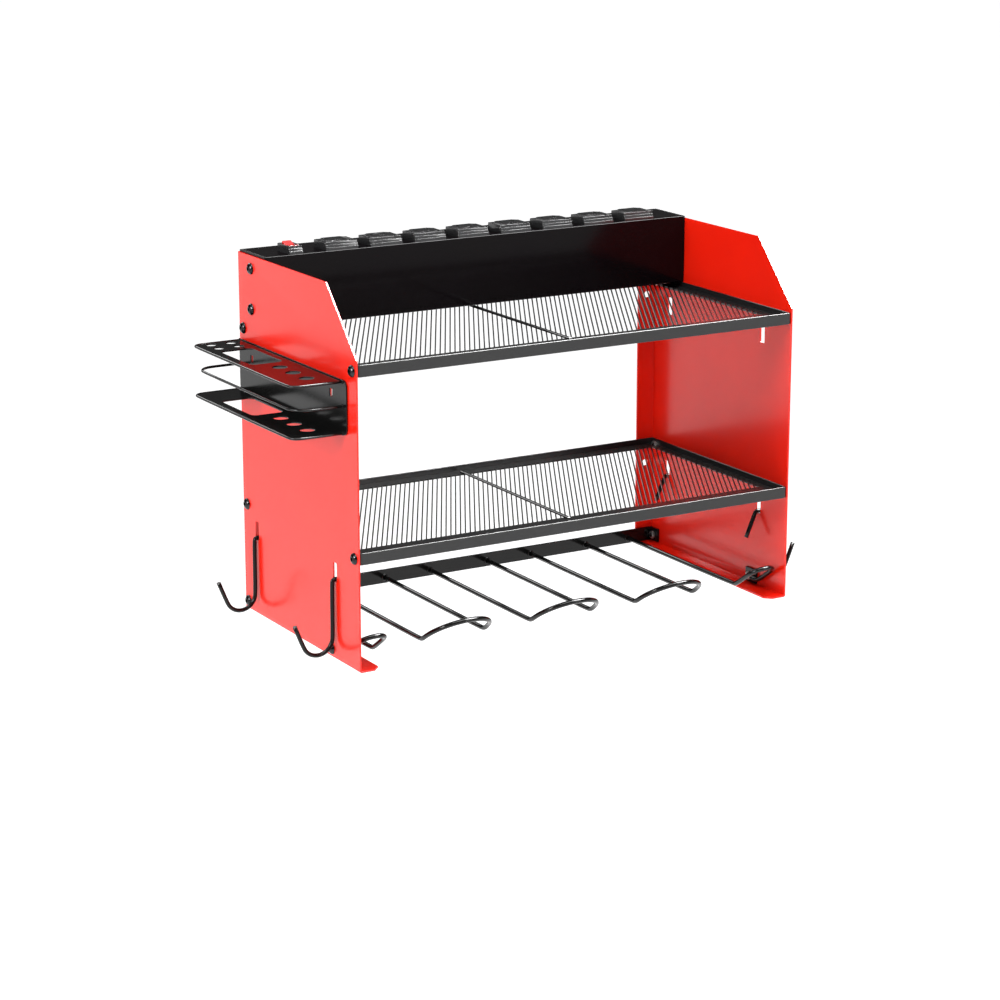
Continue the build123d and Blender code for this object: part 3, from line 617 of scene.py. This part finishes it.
# %% Round the sheet, bar and moulded pieces
EDGE_RADII = {
    "left_side_panel": 0.30,
    "right_side_panel": 0.30,
    "upper_shelf_frame": 0.60,
    "lower_shelf_frame": 0.60,
    "upper_shelf_rib": 0.15,
    "lower_shelf_rib": 0.15,
    "strip_housing": 0.45,
    "strip_end_cap_left": 0.20,
    "strip_end_cap_right": 0.20,
    "outlet_blocks": 0.30,
    "switch_block": 0.12,
    "rocker_switch": 0.30,
    "drill_rail": 0.30,
    "holder_lugs": 0.25,
    "rack_back_plate": 0.25,
    "rack_top_plate": 0.25,
    "rack_bottom_plate": 0.25,
}
# The clamp would narrow every edge of these to suit their shortest one.
UNCLAMPED = ("upper_shelf_frame", "lower_shelf_frame", "strip_housing")

for name, radius_mm in EDGE_RADII.items():
    round_edges(name, radius_mm, clamp=name not in UNCLAMPED)

# %% [markdown]
# ## Smooth rods
#
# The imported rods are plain: twelve flats round, and a few straight lengths in each bend.
# Real rod is drawn round and bends without a corner. A new curve could be swept along
# each route, but its points would have to be copied. Subdivision turns the flats into a
# true round in one step, and a crease keeps the sawn ends flat and sharp.

# %% Draw a rod smooth
CUT_END_DEGREES = 60.0
ROD_LEVELS = 2


def smooth_rod(name):
    rod = copy_node(name, "_smooth")
    bpy.ops.object.mode_set(mode="EDIT")
    bpy.ops.mesh.select_all(action="DESELECT")
    bpy.ops.mesh.edges_select_sharp(sharpness=math.radians(CUT_END_DEGREES))
    bpy.ops.transform.edge_crease(value=1.0)
    bpy.ops.object.mode_set(mode="OBJECT")
    drawn = rod.modifiers.new("drawn", "SUBSURF")
    drawn.levels = ROD_LEVELS
    drawn.render_levels = ROD_LEVELS
    bpy.ops.object.modifier_apply(modifier="drawn")
    bpy.ops.object.shade_smooth_by_angle(angle=math.radians(CUT_END_DEGREES))
    stand_for(rod, name)
    print(name, "faces:", len(rod.data.polygons))


# %% Draw all the rods
RODS = (
    ["drill_holder_" + str(number) for number in range(1, 6)]
    + ["hook_left_front", "hook_left_rear", "hook_right_front", "hook_right_rear"]
    + ["rack_wire_top", "rack_wire_middle", "rack_wire_bottom"]
)

for name in RODS:
    smooth_rod(name)

# %% [markdown]
# ## Screws with domed heads
#
# Each screw is a button head with a six sided socket for its key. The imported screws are
# bare cones that mark the places. A profile could be spun for it, but a step by step
# rise is easier to read. One screw is modelled upright, from a short cylinder whose top
# face is raised and drawn in, step by step, into a dome. A six sided post is then cut
# out of it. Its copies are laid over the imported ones.

# %% Find the places
SCREWS = ("shelf_screws", "strip_screws", "drill_rack_screws")
NUTS = ("shelf_nuts", "strip_nuts", "drill_rack_nuts")


def bits_of(name):
    """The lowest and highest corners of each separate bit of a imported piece."""
    copy_node(name, "_bits")
    bpy.ops.object.mode_set(mode="EDIT")
    bpy.ops.mesh.select_all(action="SELECT")
    bpy.ops.mesh.separate(type="LOOSE")
    bpy.ops.object.mode_set(mode="OBJECT")
    corners = []
    for bit in bpy.context.selected_objects:
        axes = list(zip(*[vertex.co for vertex in bit.data.vertices]))
        low = Vector([min(axis) for axis in axes])
        high = Vector([max(axis) for axis in axes])
        corners.append((low, high))
    bpy.ops.object.delete()
    return sorted(corners, key=lambda pair: tuple(pair[0]))


bits = {name: bits_of(name) for name in SCREWS + NUTS}
for name in SCREWS + NUTS:
    print(name, "bits:", len(bits[name]))

# %% Find the seats on the panels


def seats_of(name, height_mm):
    """Each bit's seat, this far in from its outer end, and its side, 1 right, -1 left."""
    seats = []
    for low, high in bits[name]:
        middle = (low + high) / 2
        side = 1 if middle.x > 0 else -1
        seat_x = side * (max(abs(low.x), abs(high.x)) - height_mm * MM)
        seats.append((Vector((seat_x, middle.y, middle.z)), side))
    return seats


print("first seat in mm:", [round(value / MM, 1) for value in seats_of(SCREWS[0], 0)[0][0]])

# %% Start a turned piece
ROUND_SIDES = 24
FINE_SIDES = 32
HEX_SIDES = 6


def turn_from(radius_mm, height_mm, sides):
    """A short upright cylinder on the origin, ready to be raised step by step."""
    bpy.ops.object.select_all(action="DESELECT")
    bpy.ops.mesh.primitive_cylinder_add(
        vertices=sides,
        radius=radius_mm * MM,
        depth=height_mm * MM,
        location=(0, 0, height_mm * MM / 2),
    )
    bpy.ops.object.transform_apply(location=True, rotation=True, scale=True)
    return bpy.context.active_object


def hex_from(across_mm, height_mm):
    """The same with six sides, by its width across the flats."""
    corner_radius_mm = across_mm / 2 / math.cos(math.radians(30))
    return turn_from(corner_radius_mm, height_mm, HEX_SIDES)


print("sides of a round, a fine round and a key:", ROUND_SIDES, FINE_SIDES, HEX_SIDES)

# %% Draw an end on, step by step


def pick_faces(piece, wanted):
    """Leaves just the wanted faces selected: a new primitive is selected all over."""
    bpy.context.tool_settings.mesh_select_mode = (False, False, True)
    bpy.ops.object.mode_set(mode="EDIT")
    bpy.ops.mesh.select_all(action="DESELECT")
    bpy.ops.object.mode_set(mode="OBJECT")
    for face in piece.data.polygons:
        face.select = wanted(face)


def raise_end(turned, upwards, steps):
    """Draws the top or bottom face on through (height, radius) steps, in mm."""
    vertices = turned.data.vertices
    heights = [vertex.co.z for vertex in vertices]
    end_height = max(heights) if upwards else min(heights)
    pick_faces(turned, lambda face: abs(face.center.z - end_height) < MERGE_MM * MM)
    ends = [face for face in turned.data.polygons if face.select]
    corners = [vertices[index].co for face in ends for index in face.vertices]
    radius = max(math.hypot(corner.x, corner.y) for corner in corners)
    bpy.ops.object.mode_set(mode="EDIT")
    for next_height, next_radius in steps:
        rise = next_height * MM - end_height
        bpy.ops.mesh.extrude_region_move(TRANSFORM_OT_translate={"value": (0, 0, rise)})
        scale = next_radius * MM / radius
        bpy.ops.transform.resize(value=(scale, scale, 1), center_override=(0, 0, 0))
        end_height = next_height * MM
        radius = next_radius * MM
    bpy.ops.object.mode_set(mode="OBJECT")


print("faces count as the end within mm:", MERGE_MM)

# %% Cut one piece with another


def cut_with(turned, cutter, operation="DIFFERENCE"):
    """Cuts one piece with another, which is then thrown away."""
    cut = turned.modifiers.new("cut", "BOOLEAN")
    cut.operation = operation
    cut.object = cutter
    cut.solver = "EXACT"
    bpy.ops.object.select_all(action="DESELECT")
    turned.select_set(True)
    bpy.context.view_layer.objects.active = turned
    bpy.ops.object.modifier_apply(modifier="cut")
    bpy.data.objects.remove(cutter)


print("meshes before turning:", len(bpy.data.meshes))

# %% Turn one screw
HEAD_RADIUS = 5.2
HEAD_RIM_HEIGHT = 0.45
DOME_STEPS = ((1.05, 4.92), (1.65, 4.45), (2.2, 3.75), (2.6, 3.0), (2.85, 2.2))
UNDER_HEAD_DEPTH = 0.01
SHANK_RADIUS = 1.95
THREAD_PITCH = 0.7
THREAD_ROOT_SHARE = 0.88
SHANK_TIP_SHARE = 0.8
SOCKET_ACROSS = 3.0
SOCKET_DEPTH = 1.7
SCREW_EDGE = 0.12
SCREW_SHARP_DEGREES = 75.0


def turn_screw(shank_mm):
    screw = turn_from(HEAD_RADIUS, HEAD_RIM_HEIGHT, ROUND_SIDES)
    raise_end(screw, True, DOME_STEPS)
    threads = [(-UNDER_HEAD_DEPTH, SHANK_RADIUS)]
    for turn in range(int(shank_mm / THREAD_PITCH)):
        root_depth = (turn + 0.5) * THREAD_PITCH
        crest_depth = (turn + 1.0) * THREAD_PITCH
        threads.append((-root_depth, SHANK_RADIUS * THREAD_ROOT_SHARE))
        threads.append((-crest_depth, SHANK_RADIUS))
    threads[-1] = (-shank_mm, SHANK_RADIUS * SHANK_TIP_SHARE)
    raise_end(screw, False, threads)
    key = hex_from(SOCKET_ACROSS, SOCKET_DEPTH * 2)
    key.location.z = (DOME_STEPS[-1][0] - SOCKET_DEPTH) * MM
    cut_with(screw, key)
    soften_edges(screw, SCREW_EDGE, sharp_degrees=SCREW_SHARP_DEGREES)
    return screw


# %% Lay copies of a model
Z_UP_TO_OUT = math.radians(90)


def lay_copies(model, places, name, like):
    """Copies the model to each (place, side), its top turned outwards, as one piece."""
    copies = []
    for place, side in places:
        copied = model.copy()
        copied.data = model.data.copy()
        bpy.context.scene.collection.objects.link(copied)
        copied.location = place
        copied.rotation_euler = (0, side * Z_UP_TO_OUT, 0)
        copies.append(copied)
    bpy.ops.object.select_all(action="DESELECT")
    for copied in copies:
        copied.select_set(True)
    bpy.context.view_layer.objects.active = copies[0]
    bpy.ops.object.transform_apply(location=True, rotation=True, scale=True)
    bpy.ops.object.join()
    laid = bpy.context.active_object
    laid.name = name
    laid.data.materials.clear()
    laid.data.materials.append(FINISHES[slot_of[like]])
    stand_for(laid, like)
    bpy.data.objects.remove(model)
    print(name, "copies:", len(places), "faces:", len(laid.data.polygons))


# %% Lay the screws
HEAD_HEIGHT = 3.0

for name in SCREWS:
    low, high = bits[name][-1]
    shank_mm = (high.x - low.x) / MM - HEAD_HEIGHT
    lay_copies(turn_screw(shank_mm), seats_of(name, HEAD_HEIGHT), name + "_domed", name)

# %% [markdown]
# ## Hexagon nuts
#
# A real nut is a six sided bar whose corners are turned off on both faces, with a
# threaded hole. A bevel would turn the flats off with the corners, so the nut is cut as
# it is in a lathe: the bar is a six sided cylinder, and what it shares with a slightly
# barrel shaped turned piece is the nut. A round post cuts the hole.

# %% Cut one nut
NUT_ACROSS = 7.0
NUT_HEIGHT = 2.6
NUT_HOLE_RADIUS = 2.05
NUT_FACE_RADIUS = 3.45
NUT_WAIST_RADIUS = 4.15
NUT_FACE_STEP = 0.3
NUT_CORNER_STEP = 0.45
NUT_EDGE = 0.08
CLEARANCE = 0.001


def cut_nut():
    nut = hex_from(NUT_ACROSS, NUT_HEIGHT)
    barrel = turn_from(NUT_FACE_RADIUS, NUT_FACE_STEP, FINE_SIDES)
    raise_end(barrel, True, (
        (NUT_FACE_STEP + NUT_CORNER_STEP, NUT_WAIST_RADIUS),
        (NUT_HEIGHT - NUT_CORNER_STEP, NUT_WAIST_RADIUS),
        (NUT_HEIGHT, NUT_FACE_RADIUS),
    ))
    for vertex in barrel.data.vertices:
        if abs(vertex.co.z) < MERGE_MM * MM:
            vertex.co.z = -CLEARANCE * MM
    cut_with(nut, barrel, "INTERSECT")
    post = turn_from(NUT_HOLE_RADIUS, NUT_HEIGHT * 2, ROUND_SIDES)
    post.location.z = -NUT_HEIGHT / 2 * MM
    cut_with(nut, post)
    soften_edges(nut, NUT_EDGE, segments=1)
    return nut


# %% Lay the nuts
for name in NUTS:
    facing_in = [(seat, -side) for seat, side in seats_of(name, 0)]
    lay_copies(cut_nut(), facing_in, name + "_turned", name)

# %% [markdown]
# ## The cord gland
#
# The gland is a soft plastic bush. A flange on each side of the sheet holds it, and its
# nose carries rings that let it bend with the cord. Rings in a bump would vanish from
# its outline, so it is turned like the screws: every ring is a few more steps of the
# same raised face, and a post cuts the bore.

# %% Turn the gland
GLAND_FLANGE_RADIUS = 8.5
GLAND_FLANGE_RIM = 1.5
GLAND_FLANGE_HEIGHT = 2.5
GLAND_FLANGE_ROUND = ((2.1, 0.3), (GLAND_FLANGE_HEIGHT, 1.0))
GLAND_NECK_RADIUS = 6.0
GLAND_NECK_LENGTH = 3.2
GLAND_NOSE_RADIUS = 5.4
GLAND_TIP_RADIUS = 4.7
GLAND_BORE_RADIUS = 3.75
GLAND_LENGTH_OUT = 9.5
GLAND_LENGTH_IN = 5.2
GLAND_RINGS = 5
GLAND_GROOVE = 0.6
GLAND_GROOVE_SHARE = 0.45
GLAND_EDGE = 0.15
STEP = 0.02
POST_SPARE = 1


def turn_gland():
    gland = turn_from(GLAND_FLANGE_RADIUS, GLAND_FLANGE_RIM, FINE_SIDES)
    steps = [(height, GLAND_FLANGE_RADIUS - inset) for height, inset in GLAND_FLANGE_ROUND]
    pitch = (GLAND_LENGTH_OUT - GLAND_FLANGE_HEIGHT) / GLAND_RINGS
    for ring in range(GLAND_RINGS):
        base = GLAND_FLANGE_HEIGHT + ring * pitch
        groove_top = base + pitch * GLAND_GROOVE_SHARE
        share = ring / (GLAND_RINGS - 1)
        radius = GLAND_NOSE_RADIUS + (GLAND_TIP_RADIUS - GLAND_NOSE_RADIUS) * share
        steps += [
            (base + STEP, radius - GLAND_GROOVE),
            (groove_top, radius - GLAND_GROOVE),
            (groove_top + STEP, radius),
            (base + pitch, radius),
        ]
    raise_end(gland, True, steps)
    raise_end(gland, False, (
        (-STEP, GLAND_NECK_RADIUS),
        (-GLAND_NECK_LENGTH, GLAND_NECK_RADIUS),
        (-GLAND_NECK_LENGTH - STEP, GLAND_FLANGE_RADIUS),
        (-GLAND_LENGTH_IN, GLAND_FLANGE_RADIUS),
    ))
    post_length = GLAND_LENGTH_OUT + GLAND_LENGTH_IN + 2 * POST_SPARE
    post = turn_from(GLAND_BORE_RADIUS, post_length, FINE_SIDES)
    post.location.z = (-GLAND_LENGTH_IN - POST_SPARE) * MM
    cut_with(gland, post)
    soften_edges(gland, GLAND_EDGE)
    return gland


gland_low, gland_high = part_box("cord_gland")
gland_seat = (gland_low + gland_high) / 2
gland_seat.x = gland_high.x - GLAND_LENGTH_OUT * MM
lay_copies(turn_gland(), [(gland_seat, 1)], "cord_gland_ribbed", "cord_gland")

# %% [markdown]
# ## Weld beads
#
# The bent rods are welded to the bar behind them. A weld bead is a ring of overlapping
# drops. A plain ring would look cast, and single drops would be many small pieces, so
# each bead is a thin torus, swollen at every other ring of its faces.

# %% Lay one bead round each rod's end
BEAD_RINGS = 20
BEAD_SIDES = 6
BEAD_SWELL_MM = 0.18
BEAD_LEVELS = 1


def lay_beads(name, body, places, rod_radius_mm, thickness_mm, turn):
    """places are rod ends in mm; the bead's hole looks along the turned Z axis."""
    beads = []
    for place in places:
        bpy.ops.object.select_all(action="DESELECT")
        bpy.ops.mesh.primitive_torus_add(
            location=Vector(place) * MM,
            rotation=turn,
            major_radius=(rod_radius_mm + thickness_mm / 2) * MM,
            minor_radius=thickness_mm * MM,
            major_segments=BEAD_RINGS,
            minor_segments=BEAD_SIDES,
        )
        bead = bpy.context.active_object
        bpy.ops.object.transform_apply(location=True, rotation=True, scale=True)
        pick_faces(bead, lambda face: (face.index // BEAD_SIDES) % 2 == 0)
        bpy.ops.object.mode_set(mode="EDIT")
        bpy.ops.transform.shrink_fatten(value=BEAD_SWELL_MM * MM)
        bpy.ops.object.mode_set(mode="OBJECT")
        beads.append(bead)
    bpy.ops.object.select_all(action="DESELECT")
    for bead in beads:
        bead.select_set(True)
    bpy.context.view_layer.objects.active = beads[0]
    bpy.ops.object.join()
    joined = bpy.context.active_object
    joined.name = name
    bpy.context.scene.cursor.location = (0, 0, 0)
    bpy.ops.object.origin_set(type="ORIGIN_CURSOR")
    soften = joined.modifiers.new("soften", "SUBSURF")
    soften.levels = BEAD_LEVELS
    soften.render_levels = BEAD_LEVELS
    bpy.ops.object.modifier_apply(modifier="soften")
    bpy.ops.object.shade_smooth()
    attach(joined, body)
    print(name, "beads:", len(places))
    return joined


# %% Weld the drill holders to their rail
HOLDER_ROD_RADIUS = 2.25
HOLDER_BEAD = 0.7
HOLDER_BEAD_OUT = 0.5

middle_low, middle_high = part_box("drill_holder_3")
bead_depth = middle_high.y / MM - HOLDER_BEAD_OUT
bead_height = middle_low.z / MM + HOLDER_ROD_RADIUS
leg_places = []
for number in (2, 3, 4):
    low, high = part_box("drill_holder_" + str(number))
    leg_places.append(low.x / MM + HOLDER_ROD_RADIUS)
    leg_places.append(high.x / MM - HOLDER_ROD_RADIUS)
leg_places.append(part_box("drill_holder_1")[1].x / MM - HOLDER_ROD_RADIUS)
leg_places.append(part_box("drill_holder_5")[0].x / MM + HOLDER_ROD_RADIUS)
holder_beads = lay_beads(
    "holder_weld_beads",
    "frame",
    [(x, bead_depth, bead_height) for x in leg_places],
    HOLDER_ROD_RADIUS,
    HOLDER_BEAD,
    (math.radians(90), 0, 0),
)
holder_beads.data.materials.append(rod_black)

# %% [markdown]
# The rack's wires meet its back plate the same way, so the same beads serve, turned so
# that each hole looks along the wire.

# %% Weld the rack's wires to its back plate
WIRE_RADIUS = 1.25
WIRE_BEAD = 0.45
WIRE_BEAD_OUT = 0.3

wire_places = []
for wire in ("rack_wire_top", "rack_wire_middle", "rack_wire_bottom"):
    low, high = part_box(wire)
    for y in (low.y / MM + WIRE_RADIUS, high.y / MM - WIRE_RADIUS):
        wire_places.append((high.x / MM - WIRE_BEAD_OUT, y, (low.z + high.z) / 2 / MM))
wire_beads = lay_beads(
    "rack_weld_beads",
    "side_rack",
    wire_places,
    WIRE_RADIUS,
    WIRE_BEAD,
    (0, math.radians(90), 0),
)
wire_beads.data.materials.append(rack_black)
